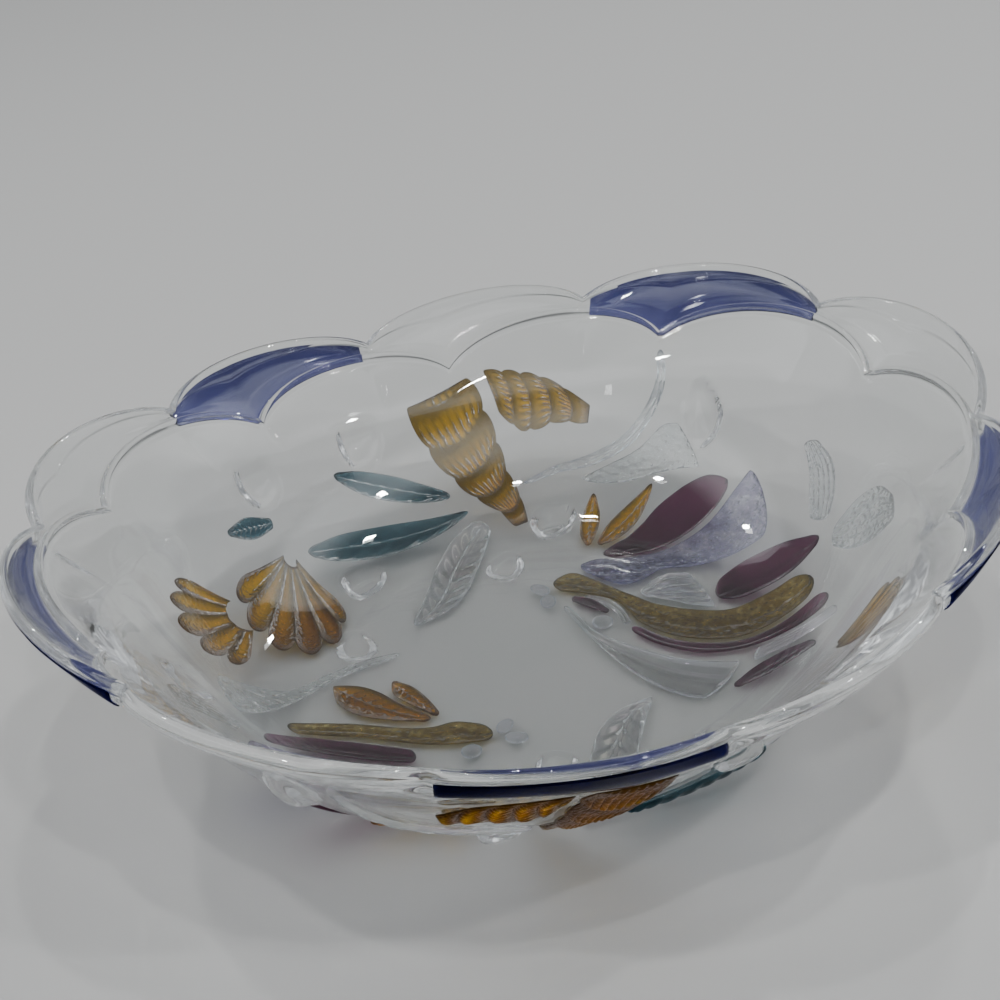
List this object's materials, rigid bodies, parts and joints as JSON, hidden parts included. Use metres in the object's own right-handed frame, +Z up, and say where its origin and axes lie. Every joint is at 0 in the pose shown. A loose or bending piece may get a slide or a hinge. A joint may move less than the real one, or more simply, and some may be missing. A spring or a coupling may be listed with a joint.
{
  "type": "art glass bowl",
  "caption": "Oval clear glass bowl with a scalloped petal rim and a moulded fish, shell and seaweed relief in amber, gold, plum, teal and lilac stain under the glass.",
  "frame": {"origin": "centre of the bounding box, on the table that the bowl stands on", "axes": "+X along the long axis of the oval, +Y across it, +Z up out of the bowl's mouth"},
  "size_m": [0.301, 0.2516, 0.0818],
  "materials": {
    "clear_glass": "clear, fire-polished press-moulded glass",
    "blue_stain": "transparent blue-violet stain, glossy",
    "amber_stain": "transparent amber stain, glossy",
    "gold_stain": "olive-gold stain with fine stipple",
    "plum_stain": "dark plum stain, glossy",
    "teal_stain": "dark petrol-teal stain, veined",
    "lilac_stain": "pale iridescent lilac, stippled",
    "pearl_stain": "clear with a pearly iridescent lustre",
    "stippled_glass": "clear, finely stippled"
  },
  "bodies": {
    "root": {"bowl_body": "clear_glass", "fan_shell_far": "amber_stain", "fan_shell_large": "amber_stain", "fan_shell_small": "amber_stain", "fish_back_back": "lilac_stain", "fish_back_belly": "pearl_stain", "fish_back_cheek": "plum_stain", "fish_back_dorsal_fin": "plum_stain", "fish_back_eye": "pearl_stain", "fish_back_flank_band": "plum_stain", "fish_back_gill": "pearl_stain", "fish_back_gold_band": "gold_stain", "fish_back_lip_lower": "pearl_stain", "fish_back_lip_upper": "pearl_stain", "fish_back_pectoral_fin": "pearl_stain", "fish_back_pelvic_fin": "pearl_stain", "fish_back_side_patch": "plum_stain", "fish_back_tail_lower": "stippled_glass", "fish_back_tail_upper": "stippled_glass", "fish_back_ventral_fin": "plum_stain", "fish_front_back": "lilac_stain", "fish_front_dorsal_fin": "plum_stain", "fish_front_eye": "pearl_stain", "fish_front_flank_band": "plum_stain", "fish_front_gold_band": "gold_stain", "fish_front_lip_lower": "pearl_stain", "fish_front_lip_upper": "pearl_stain", "fish_front_tail": "stippled_glass", "leaf_blade_a": "pearl_stain", "leaf_blade_b": "pearl_stain", "leaf_dark_a": "teal_stain", "leaf_dark_b": "teal_stain", "leaf_long_a": "teal_stain", "leaf_long_b": "teal_stain", "leaf_pearl_a": "pearl_stain", "leaf_pearl_b": "pearl_stain", "leaf_short_a": "teal_stain", "leaf_short_b": "teal_stain", "petal_stain_1": "blue_stain", "petal_stain_3": "blue_stain", "petal_stain_5": "blue_stain", "petal_stain_7": "blue_stain", "petal_stain_9": "blue_stain", "side_leaf_inner": "amber_stain", "side_leaf_outer": "amber_stain", "spiral_shell_large_a": "amber_stain", "spiral_shell_large_b": "amber_stain", "spiral_shell_small_a": "amber_stain", "spiral_shell_small_b": "amber_stain", "stipple_panel": "stippled_glass", "stipple_wedge": "stippled_glass", "twin_leaf_lower_a": "amber_stain", "twin_leaf_lower_b": "amber_stain", "twin_leaf_upper_a": "amber_stain", "twin_leaf_upper_b": "amber_stain"}
  },
  "joints": []
}
